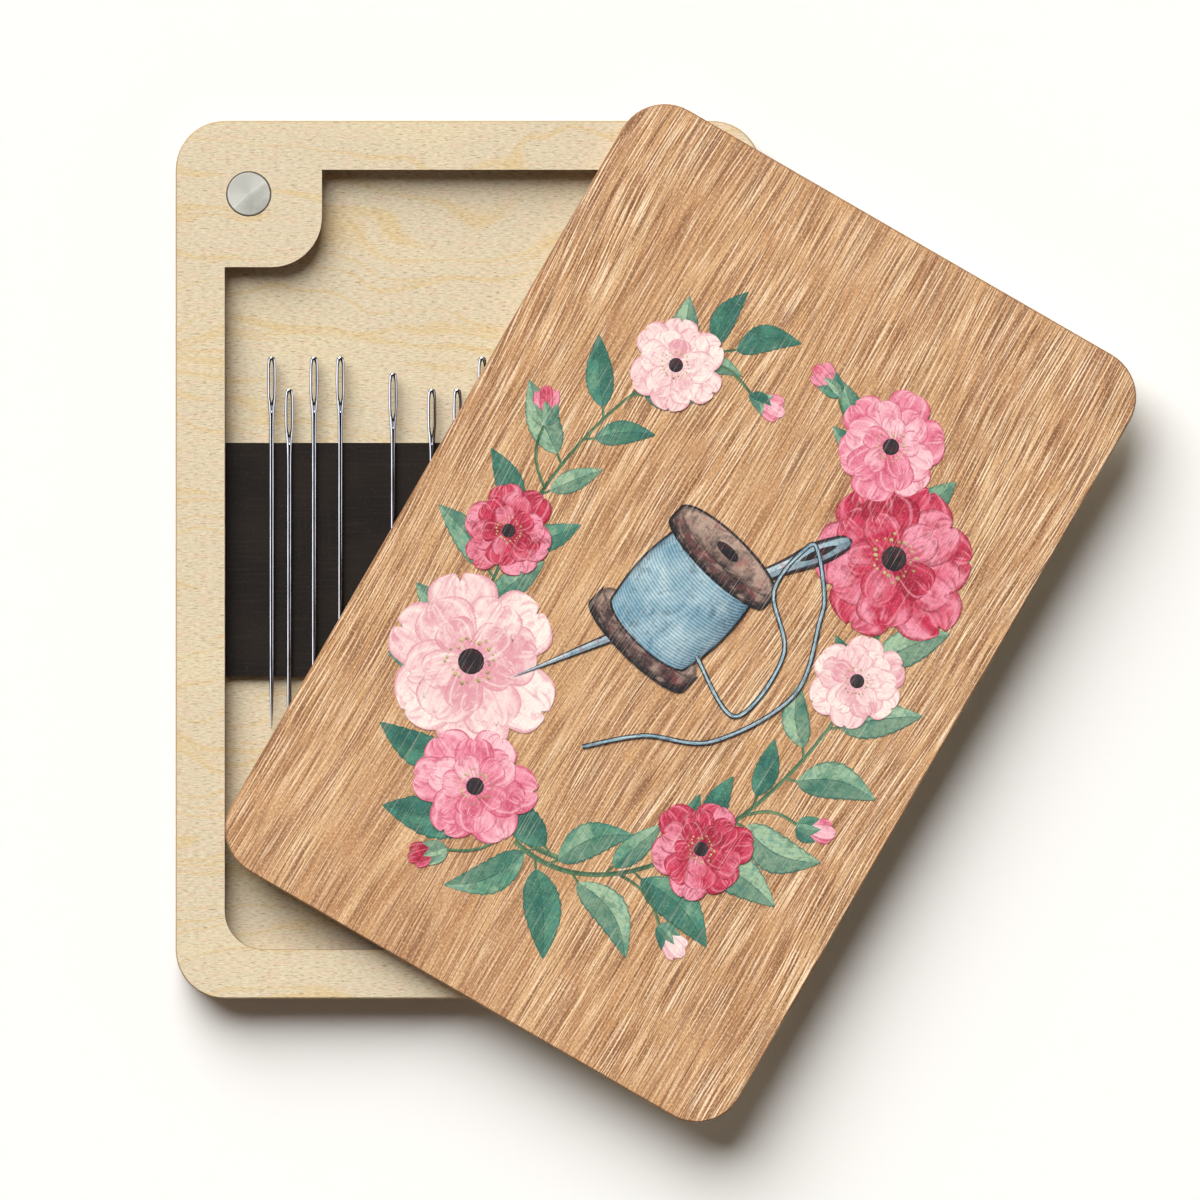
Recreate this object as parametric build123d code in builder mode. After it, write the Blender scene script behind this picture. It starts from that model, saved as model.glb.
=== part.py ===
from build123d import *
import os

# Magnetic needle case with a loose lid, sizes in millimetres.
# A tray of birch plywood, a base board with a rim frame glued on it, holds sewing needles on a
# flexible magnetic strip. The frame swells into an ear in two opposite corners, and each ear
# holds a disc magnet. The lid is a flat board faced with oak veneer, with two disc magnets in
# pockets under it that meet the ones in the ears when the case is shut.
# The origin is the centre of the case's underside: +X to the right, +Y to the needles' eyes,
# +Z up. The lid lies askew on the open case.

# Tray
case_width = 80.0
case_length = 120.0
corner_radius = 6.7
base_thickness = 3.0
frame_thickness = 3.0
rim_width = 6.7
recess_radius = 5.3
ear_size = 20.0
ear_radius = 6.9
edge_break = 0.2

# Disc magnets, the same discs in the ears and under the lid but for their thickness
magnet_diameter = 6.0
magnet_bevel = 0.15
lid_magnet_thickness = 2.0
glue_gap = 0.1

# Magnetic strip across the tray
strip_height = 32.0
strip_thickness = 1.0
strip_side_gap = 0.1
adhesive_thickness = 0.1

# Lid, and how it lies on the open tray
lid_core_thickness = 2.5
lid_veneer_thickness = 0.5
lid_gap = 0.05
lid_turn = 30.0
lid_slip = 15.6

# Needle: lengths are measured from the top of its crown
needle_length = 51.0
needle_diameter = 0.7
needle_gap = 0.05
point_length = 8.0
mid_point_diameter = 0.42
tip_diameter = 0.08
crown_radius = 0.5
head_width = 1.18
head_widest = 3.4
head_thickness = 0.66
head_bevel = 0.17
head_length = 9.0
head_end_width = 0.56
neck_width = 0.94
shank_start = 7.4
eye_top = 0.4
eye_length = 6.0
eye_width = 0.6
eye_arch = 1.3
eye_vee = 1.7

# Needles on the strip, from the left: across from the middle of the case, and how far the top
# of the eye stands above the middle
needle_places = [
    (-26.9, 27.8),
    (-24.5, 23.4),
    (-21.1, 27.8),
    (-17.5, 27.8),
    (-10.3, 25.6),
    (-5.0, 23.4),
    (-1.5, 23.4),
    (1.9, 27.8),
    (7.1, 25.6),
    (12.4, 27.8),
    (18.0, 23.4),
    (23.6, 27.8),
]

# Places that follow from the sizes
recess_width = case_width - 2 * rim_width
recess_length = case_length - 2 * rim_width
case_height = base_thickness + frame_thickness
ear_x = (case_width - ear_size) / 2
ear_y = (case_length - ear_size) / 2
pocket_radius = magnet_diameter / 2 + glue_gap
pocket_depth = lid_magnet_thickness + glue_gap
strip_bottom = base_thickness + adhesive_thickness
strip_top = strip_bottom + strip_thickness
needle_height = strip_top + needle_diameter / 2 + needle_gap
eye_bottom = eye_top + eye_length

# The shut lid is turned about the right-hand magnet, then slid towards the needles' points
shut_lid = Pos(0, 0, case_height + lid_gap)
about_magnet = Pos(ear_x, -ear_y, 0) * Rot(Z=-lid_turn) * Pos(-ear_x, ear_y, 0)
lid_plane = Plane(Pos(0, -lid_slip, 0) * about_magnet * shut_lid)


def write(piece, name):
    """Labels a finished piece and writes it as a STEP file of the same name."""
    piece.label = name
    export_step(piece, f"parts/{name}.step")


os.makedirs("parts", exist_ok=True)

# Base board: plain plywood, its lower outer edge eased by sanding
with BuildPart() as base_board:
    with BuildSketch():
        RectangleRounded(case_width, case_length, corner_radius)
    extrude(amount=base_thickness)
    chamfer(base_board.faces().sort_by(Axis.Z)[0].edges(), edge_break)
write(base_board.part, "base_board")

# Recess of the frame: a rectangle less the two ears, rounded in the two corners without an ear
with BuildSketch() as recess:
    Rectangle(recess_width, recess_length)
    with Locations((-ear_x, ear_y), (ear_x, -ear_y)):
        Rectangle(ear_size, ear_size, mode=Mode.SUBTRACT)
    plain_corners = recess.vertices().sort_by(Axis((0, 0, 0), (1, 1, 0)))
    fillet([plain_corners[0], plain_corners[-1]], recess_radius)
    for side in (-1, 1):
        inner_corner = (side * (ear_x - ear_size / 2), -side * (ear_y - ear_size / 2))
        fillet(recess.vertices().sort_by_distance(inner_corner)[0], ear_radius)

# Rim frame: cut through for the recess and for the two magnets
with BuildPart() as rim_frame:
    with BuildSketch(Plane.XY.offset(base_thickness)):
        RectangleRounded(case_width, case_length, corner_radius)
        add(recess.sketch, mode=Mode.SUBTRACT)
        with Locations((-ear_x, ear_y), (ear_x, -ear_y)):
            Circle(pocket_radius, mode=Mode.SUBTRACT)
    extrude(amount=frame_thickness)
    top_outline = rim_frame.faces().sort_by(Axis.Z)[-1].outer_wire()
    chamfer(top_outline.edges(), edge_break)
write(rim_frame.part, "rim_frame")

# Tray magnets: as thick as the frame, standing on the base board with their tops flush
for name, side in (("case_magnet_left", -1), ("case_magnet_right", 1)):
    with BuildPart() as case_magnet:
        with BuildSketch(Plane.XY.offset(base_thickness)):
            with Locations((side * ear_x, -side * ear_y)):
                Circle(magnet_diameter / 2)
        extrude(amount=frame_thickness)
        chamfer(case_magnet.faces().sort_by(Axis.Z)[-1].edges(), magnet_bevel)
    write(case_magnet.part, name)

# Adhesive film under the strip
with BuildPart() as strip_adhesive:
    with BuildSketch(Plane.XY.offset(base_thickness)):
        Rectangle(recess_width - 2 * strip_side_gap, strip_height)
    extrude(amount=adhesive_thickness)
write(strip_adhesive.part, "strip_adhesive")

# Magnetic strip: flexible magnet sheet from wall to wall
with BuildPart() as magnetic_strip:
    with BuildSketch(Plane.XY.offset(strip_bottom)):
        Rectangle(recess_width - 2 * strip_side_gap, strip_height)
    extrude(amount=strip_thickness)
write(magnetic_strip.part, "magnetic_strip")

# Lid core: the tray's outline, with a blind pocket for each magnet on its underside
with BuildPart() as lid_core:
    with BuildSketch(lid_plane):
        RectangleRounded(case_width, case_length, corner_radius)
    extrude(amount=lid_core_thickness)
    with BuildSketch(lid_plane):
        with Locations((-ear_x, ear_y), (ear_x, -ear_y)):
            Circle(pocket_radius)
    extrude(amount=pocket_depth, mode=Mode.SUBTRACT)
write(lid_core.part, "lid_core")

# Lid veneer: the printed face, its upper outer edge eased by sanding
with BuildPart() as lid_veneer:
    with BuildSketch(lid_plane.offset(lid_core_thickness)):
        RectangleRounded(case_width, case_length, corner_radius)
    extrude(amount=lid_veneer_thickness)
    chamfer(lid_veneer.faces().sort_by(Axis.Z)[-1].edges(), edge_break)
write(lid_veneer.part, "lid_veneer")

# Lid magnets: pressed up to the bottom of their pockets, a glue gap short of the lid's underside
for name, side in (("lid_magnet_left", -1), ("lid_magnet_right", 1)):
    with BuildPart() as lid_magnet:
        with BuildSketch(lid_plane.offset(pocket_depth)):
            with Locations((side * ear_x, -side * ear_y)):
                Circle(magnet_diameter / 2)
        extrude(amount=-lid_magnet_thickness)
        chamfer(lid_magnet.faces().sort_by(Axis.Z)[0].edges(), magnet_bevel)
    write(lid_magnet.part, name)

# Needle: its head is stamped flat, with the outline seen from above and bevelled edges
with BuildPart() as needle:
    with BuildSketch(Plane.XY.offset(-head_thickness / 2)):
        with BuildLine():
            crown = CenterArc((0, -crown_radius), crown_radius, start_angle=0, arc_size=90)
            neck = (neck_width / 2, -eye_bottom)
            ThreePointArc(crown @ 0, (head_width / 2, -head_widest), neck)
            Polyline(neck, (head_end_width / 2, -head_length), (0, -head_length))
            mirror(about=Plane.YZ)
        make_face()
    extrude(amount=head_thickness)
    # Bevelled all round, except at its end, which is buried in the shank
    outlines = needle.faces().filter_by(Axis.Z).edges().sort_by(Axis.Y)
    chamfer(outlines[2:], head_bevel)
    # The eye: a slot with a pointed arch at its top and a vee at its bottom
    with BuildSketch():
        with BuildLine():
            for side in (-1, 1):
                top_of_side = (side * eye_width / 2, -eye_top - eye_arch)
                end_of_side = (side * eye_width / 2, eye_vee - eye_bottom)
                TangentArc(top_of_side, (0, -eye_top), tangent=(0, 1))
                Line(top_of_side, end_of_side)
                TangentArc(end_of_side, (0, -eye_bottom), tangent=(0, -1))
        make_face()
    extrude(amount=head_width, both=True, mode=Mode.SUBTRACT)
    # The round shank starts inside the head
    with BuildSketch(Plane.XZ.offset(shank_start)):
        Circle(needle_diameter / 2)
    extrude(amount=needle_length - point_length - shank_start)
    # The point is ground in two tapers
    for above_tip, diameter in (
        (point_length, needle_diameter),
        (point_length / 2, mid_point_diameter),
        (0, tip_diameter),
    ):
        with BuildSketch(Plane.XZ.offset(needle_length - above_tip)):
            Ellipse(diameter / 2, diameter / 2)
    loft(ruled=True)

for number, place in enumerate(needle_places, start=1):
    with BuildPart() as placed_needle:
        with Locations((*place, needle_height)):
            add(needle.part)
    write(placed_needle.part, f"needle_{number}")
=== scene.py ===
import math
import random

import bpy
from mathutils import Matrix, Vector


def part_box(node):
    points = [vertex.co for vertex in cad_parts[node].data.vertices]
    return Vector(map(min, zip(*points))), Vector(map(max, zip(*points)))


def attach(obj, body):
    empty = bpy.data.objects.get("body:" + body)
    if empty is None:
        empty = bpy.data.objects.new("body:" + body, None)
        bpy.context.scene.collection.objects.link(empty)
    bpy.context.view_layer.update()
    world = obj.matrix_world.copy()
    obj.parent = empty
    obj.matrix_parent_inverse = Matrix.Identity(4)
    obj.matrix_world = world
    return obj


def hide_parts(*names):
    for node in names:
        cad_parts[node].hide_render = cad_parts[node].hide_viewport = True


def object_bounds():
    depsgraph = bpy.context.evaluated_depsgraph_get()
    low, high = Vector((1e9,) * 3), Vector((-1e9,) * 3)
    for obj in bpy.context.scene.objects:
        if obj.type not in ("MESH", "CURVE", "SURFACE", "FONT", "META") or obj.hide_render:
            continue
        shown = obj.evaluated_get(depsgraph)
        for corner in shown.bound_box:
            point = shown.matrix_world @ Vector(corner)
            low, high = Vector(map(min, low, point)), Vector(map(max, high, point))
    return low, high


# A needle case of laser-cut plywood, open, with its oak-faced lid lying askew on it.
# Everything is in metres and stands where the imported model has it: +X to the right, +Y to the
# needles' eyes, +Z up.
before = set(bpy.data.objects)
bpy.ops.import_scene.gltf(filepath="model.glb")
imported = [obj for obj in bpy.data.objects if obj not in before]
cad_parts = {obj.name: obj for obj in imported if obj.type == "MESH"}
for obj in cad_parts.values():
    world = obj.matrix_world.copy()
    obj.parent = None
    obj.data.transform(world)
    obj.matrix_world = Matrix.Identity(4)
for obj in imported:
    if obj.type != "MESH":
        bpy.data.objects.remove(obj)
cad_low, cad_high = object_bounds()
MM = 0.001


# The table under the case: a smooth board painted matt white. It fills every view and
# isn't part of the case.
def linear(colour):
    """The linear RGBA of an sRGB hex value such as "d1a579"."""
    parts = [int(colour[place : place + 2], 16) / 255 for place in (0, 2, 4)]
    return [c / 12.92 if c <= 0.04045 else ((c + 0.055) / 1.055) ** 2.4 for c in parts] + [1.0]


def add(tree, kind, inputs=None, output=0, **settings):
    """Adds a shader node, sets it up, links or sets its inputs, and returns one of its outputs."""
    node = tree.nodes.new("ShaderNode" + kind)
    for name, value in settings.items():
        setattr(node, name, value)
    for place, value in (inputs or {}).items():
        if isinstance(value, bpy.types.NodeSocket):
            tree.links.new(value, node.inputs[place])
        elif isinstance(value, str):
            node.inputs[place].default_value = linear(value)
        else:
            node.inputs[place].default_value = value
    return node.outputs[output] if len(node.outputs) else None


def new_material(name):
    """An empty material and its node tree."""
    material = bpy.data.materials.new(name)
    material.use_nodes = True
    material.node_tree.nodes.clear()
    return material, material.node_tree


def dress(piece, material):
    """Gives a piece one material all over."""
    piece.data.materials.clear()
    piece.data.materials.append(material)
    for face in piece.data.polygons:
        face.material_index = 0


def in_millimetres(tree, offset=(0, 0, 0)):
    """Object coordinates in millimetres, moved by an offset to another part of a pattern."""
    return add(
        tree,
        "Mapping",
        {
            "Vector": add(tree, "TexCoord", output="Object"),
            "Location": offset,
            "Scale": (1000, 1000, 1000),
        },
    )


table_size = 6.0
table_drop = 0.02 * MM
bpy.ops.object.select_all(action="DESELECT")
bpy.ops.mesh.primitive_plane_add(size=table_size, location=(0, 0, cad_low.z - table_drop))
table = bpy.context.object
table.name = "table_top"
# Rolled emulsion paint: its faint millimetre-wide orange peel keeps the white from looking flat
matt_paint, tree = new_material("matt_white_paint")
paint_grain = add(tree, "TexNoise", {"Vector": in_millimetres(tree), "Scale": 0.9, "Detail": 2.0})
paint_bump = add(tree, "Bump", {"Height": paint_grain, "Strength": 0.05, "Distance": 0.0002})
paint = add(
    tree,
    "BsdfPrincipled",
    {"Base Color": "f4f4f1", "Roughness": 0.9, "Specular IOR Level": 0.15, "Normal": paint_bump},
)
add(tree, "OutputMaterial", {"Surface": paint})
dress(table, matt_paint)

# The studio: a broad sun from the upper left draws the shadows, and a pale room fills them.
# Three soft boxes show only as reflections: one on each side of the needles, which leaves a
# dark line along their middle, and one past their eyes for the magnets and the wood's ridges.
sun_height = 40.0
sun_bearing = (-9.5, 21.0)
sun = bpy.data.objects.new("sun", bpy.data.lights.new("sun", "SUN"))
bpy.context.scene.collection.objects.link(sun)
towards_sun = Vector((*sun_bearing, 0)).normalized() * math.cos(math.radians(sun_height))
towards_sun.z = math.sin(math.radians(sun_height))
sun.rotation_mode = "QUATERNION"
sun.rotation_quaternion = towards_sun.to_track_quat("Z", "Y")
sun.data.energy = 4.9
sun.data.angle = math.radians(54)
sun.data.color = (1.0, 0.998, 1.0)

soft_boxes = [
    ("soft_box_left", (-0.88, 0.0, 0.37), (0.76, 0.9), 2.8),
    ("soft_box_right", (0.88, 0.0, 0.37), (0.76, 0.9), 2.1),
    ("soft_box_far", (0.0, 0.6, 0.75), (0.9, 0.3), 1.2),
]
for name, place, (width, length), radiance in soft_boxes:
    lamp = bpy.data.lights.new(name, "AREA")
    lamp.shape = "RECTANGLE"
    lamp.size = width
    lamp.size_y = length
    lamp.energy = radiance * math.pi * width * length
    box = bpy.data.objects.new(name, lamp)
    bpy.context.scene.collection.objects.link(box)
    box.location = place
    box.rotation_mode = "QUATERNION"
    box.rotation_quaternion = Vector(place).to_track_quat("Z", "Y")
    box.visible_diffuse = False

room = bpy.data.worlds.new("pale_room")
bpy.context.scene.world = room
room.use_nodes = True
room.node_tree.nodes.clear()
direction = add(room.node_tree, "TexCoord", output="Generated")
height = add(room.node_tree, "SeparateXYZ", {0: direction}, output="Z")
walls = add(
    room.node_tree,
    "MapRange",
    {"Value": height, "From Min": 0.45, "From Max": 0.75, "To Min": 0.34, "To Max": 0.03},
)
glow = add(room.node_tree, "Background", {"Color": "ffe8cf", "Strength": walls})
add(room.node_tree, "OutputWorld", {"Surface": glow})

# The camera looks straight down, from far off and with a long lens.
view_centre = (18.0 * MM, -5.5 * MM)
view_width = 164.0 * MM
lens, sensor = 600.0, 36.0
camera = bpy.data.objects.new("camera", bpy.data.cameras.new("camera"))
bpy.context.scene.collection.objects.link(camera)
camera.data.lens = lens
camera.data.sensor_width = sensor
camera.data.clip_start = 0.01
camera.location = (*view_centre, view_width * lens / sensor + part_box("rim_frame")[1].z)
bpy.context.scene.camera = camera
bpy.context.scene.view_settings.view_transform = "Standard"

# The tray: a base board and a rim frame, both laser-cut from 3 mm birch plywood and glued.
# The face veneer is pale, with short grey flecks along the grain and faint yellow growth lines.
# The cut edges are toasted brown, and show the three plies between dark glue lines.
MIX_A, MIX_B, MIX_RESULT = 6, 7, 2
veneer_colour, flecks_colour = "d8cbae", "a48f6c"


def tinted(tree, colour, tint, value, start, end, strength=1.0):
    """Lays a tint over a colour: none where the value is start, and up to strength at end."""
    amount = add(
        tree,
        "MapRange",
        {"Value": value, "From Min": start, "From Max": end, "To Max": strength},
    )
    return add(
        tree, "Mix", {0: amount, MIX_A: colour, MIX_B: tint}, output=MIX_RESULT, data_type="RGBA"
    )


def levelness(tree):
    """How squarely a face looks up or down: 1 on the flat faces, and 0 on the cut edges."""
    normal = add(tree, "TexCoord", output="Normal")
    upward = add(tree, "SeparateXYZ", {0: normal}, output="Z")
    return add(tree, "Math", {0: upward}, operation="ABSOLUTE")


def birch_plywood(name, veneer_offset):
    """The plywood's faces and cut edges. The offset, in mm, picks another part of the veneer."""
    material, tree = new_material(name)
    place = in_millimetres(tree, veneer_offset)
    # The grain runs along X and wanders by a few millimetres
    wander = add(
        tree,
        "TexNoise",
        {
            "Vector": add(tree, "Mapping", {"Vector": place, "Scale": (0.022, 0.03, 0.1)}),
            "Scale": 1.0,
            "Detail": 3.0,
        },
    )
    sideways = add(
        tree,
        "MapRange",
        {"Value": wander, "From Min": 0.3, "From Max": 0.7, "To Min": -7.0, "To Max": 7.0},
    )
    grain_place = add(
        tree,
        "VectorMath",
        {0: place, 1: add(tree, "CombineXYZ", {"Y": sideways})},
        operation="ADD",
    )
    # Flecks and pores are nearly 0.2 mm wide, coarser than real birch's, so that they show
    patterns = {}
    for pattern, scale, detail in (
        ("clouds", (0.035, 0.1, 0.1), 3.0),
        ("lines", (0.012, 0.16, 0.1), 2.0),
        ("flecks", (0.9, 5.2, 1.0), 3.0),
        ("pores", (1.2, 6.5, 1.0), 3.0),
        ("blush", (0.35, 1.1, 1.0), 3.0),
    ):
        wandering = grain_place if pattern in ("clouds", "lines") else place
        stretched = add(tree, "Mapping", {"Vector": wandering, "Scale": scale})
        patterns[pattern] = add(
            tree,
            "TexNoise",
            {"Vector": stretched, "Scale": 1.0, "Detail": detail, "Roughness": 0.6},
        )
    from_line = add(tree, "Math", {0: patterns["lines"], 1: 0.5}, operation="SUBTRACT")
    near_line = add(tree, "Math", {0: from_line}, operation="ABSOLUTE")
    face = veneer_colour
    for value, start, end, strength, tint in (
        (patterns["clouds"], 0.48, 0.68, 0.6, "e2d3ac"),
        (patterns["blush"], 0.48, 0.68, 0.7, "dfc3a9"),
        (near_line, 0.03, 0.0, 0.7, "d9bc84"),
        (patterns["pores"], 0.5, 0.7, 0.5, flecks_colour),
        (patterns["pores"], 0.48, 0.32, 0.5, "efe5cc"),
        (patterns["flecks"], 0.58, 0.68, 0.9, flecks_colour),
    ):
        face = tinted(tree, face, tint, value, start, end, strength)
    # Cut edges: one ply a millimetre, every other one darker, with a glue line between two
    height = add(tree, "SeparateXYZ", {0: in_millimetres(tree)}, output="Z")
    from_glue_line = add(tree, "Math", {0: height, 1: 1.0}, operation="PINGPONG")
    in_two_plies = add(tree, "Math", {0: height, 1: 2.0}, operation="FLOORED_MODULO")
    dark_ply = add(tree, "Math", {0: in_two_plies, 1: 1.0}, operation="GREATER_THAN")
    scorch = add(
        tree,
        "TexNoise",
        {
            "Vector": add(tree, "Mapping", {"Vector": place, "Scale": (1.8, 1.8, 0.25)}),
            "Scale": 1.0,
            "Detail": 4.0,
        },
    )
    edge = tinted(tree, "a5794b", "8a6038", dark_ply, 0.0, 1.0)
    edge = tinted(tree, edge, "5b3c21", scorch, 0.42, 0.68)
    edge = tinted(tree, edge, "35210f", from_glue_line, 0.1, 0.03, 0.8)
    level = levelness(tree)
    is_face = add(tree, "Math", {0: level, 1: 0.5}, operation="GREATER_THAN")
    # Painted shade: the eased edge round the flat faces is darkened, so that it doesn't light up
    # where it faces the sun
    face = tinted(tree, face, "93774c", level, 0.95, 0.7, 0.75)
    colour = add(
        tree, "Mix", {0: is_face, MIX_A: edge, MIX_B: face}, output=MIX_RESULT, data_type="RGBA"
    )
    relief = add(tree, "Bump", {"Height": patterns["pores"], "Strength": 0.15, "Distance": 0.00008})
    wood = add(
        tree,
        "BsdfPrincipled",
        {"Base Color": colour, "Roughness": 0.62, "Specular IOR Level": 0.25, "Normal": relief},
    )
    add(tree, "OutputMaterial", {"Surface": wood})
    return material


dress(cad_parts["rim_frame"], birch_plywood("birch_plywood_frame", (0, 0, 0)))
dress(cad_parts["base_board"], birch_plywood("birch_plywood_base", (210, 70, 0)))

# The magnets: neodymium discs, nickel plated, pressed into their holes with a bead of glue.
# Their faces were turned, so they are finely brushed round the centre and shine in a fan.
# The fan is also painted into their colour as a painted highlight.
nickel, tree = new_material("turned_nickel_plate_painted_fan")
radial = add(tree, "Tangent", direction_type="RADIAL", axis="Z")
clouding = add(tree, "TexNoise", {"Vector": in_millimetres(tree), "Scale": 0.9, "Detail": 3.0})
plate_colour = tinted(tree, "bdbdb5", "acaca5", clouding, 0.35, 0.7)
# A painted highlight makes a paler wedge across the face, and painted shade makes a duller half
# beside it
painted_fan_place = add(
    tree,
    "Mapping",
    {"Vector": add(tree, "TexCoord", output="Generated"), "Location": (-0.5, -0.5, 0)},
)
painted_fan_angle = add(
    tree,
    "TexGradient",
    {"Vector": add(tree, "Mapping", {"Vector": painted_fan_place, "Rotation": (0, 0, math.radians(-38))})},
    output="Fac",
    gradient_type="RADIAL",
)
for start, end, strength, tint in (
    (0.5, 0.52, 0.6, "94948d"),
    (0.03, 0.0, 0.6, "dfdfd7"),
    (0.47, 0.5, 0.5, "dfdfd7"),
):
    plate_colour = tinted(tree, plate_colour, tint, painted_fan_angle, start, end, strength)
plate = add(
    tree,
    "BsdfPrincipled",
    {
        "Base Color": plate_colour,
        "Metallic": 1.0,
        "Roughness": 0.55,
        "Anisotropic": 0.2,
        "Tangent": radial,
    },
)
add(tree, "OutputMaterial", {"Surface": plate})

# Contact glue, squeezed out and dried in the gap: a lumpy brown ring with a low sheen
glue, tree = new_material("dried_contact_glue")
glue_lumps = add(tree, "TexNoise", {"Vector": in_millimetres(tree), "Scale": 2.5, "Detail": 3.0})
glue_bump = add(tree, "Bump", {"Height": glue_lumps, "Strength": 0.4, "Distance": 0.00005})
glue_colour = add(
    tree,
    "Mix",
    {0: glue_lumps, MIX_A: "3a2f25", MIX_B: "5f4f3e"},
    output=MIX_RESULT,
    data_type="RGBA",
)
glue_body = add(
    tree,
    "BsdfPrincipled",
    {"Base Color": glue_colour, "Roughness": 0.5, "Normal": glue_bump},
)
add(tree, "OutputMaterial", {"Surface": glue_body})

glue_gap = 0.1 * MM
bead_radius = 0.46 * glue_gap
bead_depth = 0.18 * MM
bead_stretch = (1, 1, 3)
for name, body, faces_up in (
    ("case_magnet_left", "case", True),
    ("case_magnet_right", "case", True),
    ("lid_magnet_left", "lid", False),
    ("lid_magnet_right", "lid_pivot", False),
):
    dress(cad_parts[name], nickel)
    low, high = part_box(name)
    centre = (low + high) / 2
    surface = high.z - bead_depth if faces_up else low.z + bead_depth
    bpy.ops.object.select_all(action="DESELECT")
    bpy.ops.mesh.primitive_torus_add(
        major_radius=(high.x - low.x) / 2 + glue_gap / 2,
        minor_radius=bead_radius,
        major_segments=72,
        minor_segments=8,
        location=(centre.x, centre.y, surface),
    )
    bead = bpy.context.object
    bead.name = name + "_glue"
    bpy.ops.object.mode_set(mode="EDIT")
    bpy.ops.transform.resize(value=bead_stretch, center_override=(centre.x, centre.y, surface))
    bpy.ops.object.mode_set(mode="OBJECT")
    bpy.ops.object.transform_apply(location=True, rotation=True, scale=True)
    bpy.ops.object.shade_smooth()
    dress(bead, glue)
    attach(bead, body)

# The strip: flexible magnet sheet, ferrite in rubber, rolled matt black-brown and cut with a
# knife. It sticks to the base board with a thin adhesive film.
rubber, tree = new_material("ferrite_rubber_sheet")
place = in_millimetres(tree)
rubber_colour = "1c1815"
# Rolling leaves faint lines both ways, about 0.3 mm apart, and a dusty grit
for scale, start, end, strength, tint in (
    ((0.1, 0.14, 1.0), 0.4, 0.68, 0.8, "26201b"),
    ((0.15, 3.4, 1.0), 0.52, 0.72, 0.7, "2c251f"),
    ((3.6, 0.12, 1.0), 0.54, 0.72, 0.6, "28211b"),
    ((2.4, 2.4, 1.0), 0.6, 0.75, 0.6, "352d26"),
):
    marks = add(
        tree,
        "TexNoise",
        {
            "Vector": add(tree, "Mapping", {"Vector": place, "Scale": scale}),
            "Scale": 1.0,
            "Detail": 2.0,
        },
    )
    rubber_colour = tinted(tree, rubber_colour, tint, marks, start, end, strength)
grit = add(tree, "TexNoise", {"Vector": place, "Scale": 5.0, "Detail": 2.0})
rubber_bump = add(tree, "Bump", {"Height": grit, "Strength": 0.3, "Distance": 0.00005})
rubber_body = add(
    tree,
    "BsdfPrincipled",
    {
        "Base Color": rubber_colour,
        "Roughness": 0.65,
        "Specular IOR Level": 0.12,
        "Normal": rubber_bump,
    },
)
add(tree, "OutputMaterial", {"Surface": rubber_body})
dress(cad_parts["magnetic_strip"], rubber)

# Cast acrylic film: milky, slightly shiny, and blotchy where it has wetted the wood
film, tree = new_material("acrylic_adhesive_film")
film_blotches = add(tree, "TexNoise", {"Vector": in_millimetres(tree), "Scale": 0.7, "Detail": 2.0})
film_colour = add(
    tree,
    "Mix",
    {0: film_blotches, MIX_A: "b9ac94", MIX_B: "d8cfbd"},
    output=MIX_RESULT,
    data_type="RGBA",
)
film_body = add(tree, "BsdfPrincipled", {"Base Color": film_colour, "Roughness": 0.4})
add(tree, "OutputMaterial", {"Surface": film_body})
dress(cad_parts["strip_adhesive"], film)

# The needles: drawn steel wire, its head stamped flat and pierced, its point ground, then
# nickel plated. One is modelled in millimetres, its crown at the origin, and copied.
needle_sections = [
    # below the crown's top, half the width, half the thickness
    (0.01, 0.16, 0.20),
    (0.07, 0.32, 0.255),
    (0.20, 0.45, 0.285),
    (0.45, 0.54, 0.30),
    (0.90, 0.58, 0.31),
    (1.80, 0.615, 0.315),
    (3.40, 0.64, 0.325),
    (5.00, 0.61, 0.33),
    (6.00, 0.54, 0.33),
    (6.80, 0.47, 0.335),
    (7.60, 0.41, 0.34),
    (9.00, 0.36, 0.35),
    (10.5, 0.35, 0.35),
    (26.0, 0.35, 0.35),
    (42.5, 0.35, 0.35),
    (44.5, 0.325, 0.325),
    (46.5, 0.27, 0.27),
    (48.5, 0.195, 0.195),
    (50.0, 0.115, 0.115),
    (50.8, 0.055, 0.055),
    (51.0, 0.015, 0.015),
]
needle_sides = 28
eye_top, eye_bottom = 0.47, 6.36
eye_half_width, eye_least_half_width = 0.25, 0.01
eye_arch, eye_vee = 1.3, 1.7
eye_straight_depth, eye_flare = 0.16, 0.8
gutter_middle, gutter_height = 7.1, 0.335
gutter_half_size = (0.17, 0.6, 0.12)
shortest_edge = 0.004


def eye_half_width_at(share):
    """Half the eye's width at a share of its length, measured from its top."""
    below = share * (eye_bottom - eye_top)
    above = eye_bottom - eye_top - below
    for reach, end in ((below, eye_arch), (above, eye_vee)):
        if reach < end:
            radius = (eye_half_width**2 + end**2) / (2 * eye_half_width)
            return eye_half_width - radius + math.sqrt(radius**2 - (end - reach) ** 2)
    return eye_half_width


def cut_away(piece, cutter):
    """Cuts one mesh out of another and deletes the cutter."""
    cut = piece.modifiers.new("cut", "BOOLEAN")
    cut.object = cutter
    cut.solver = "EXACT"
    bpy.ops.object.select_all(action="DESELECT")
    bpy.context.view_layer.objects.active = piece
    bpy.ops.object.modifier_apply(modifier=cut.name)
    bpy.data.objects.remove(cutter)


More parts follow.
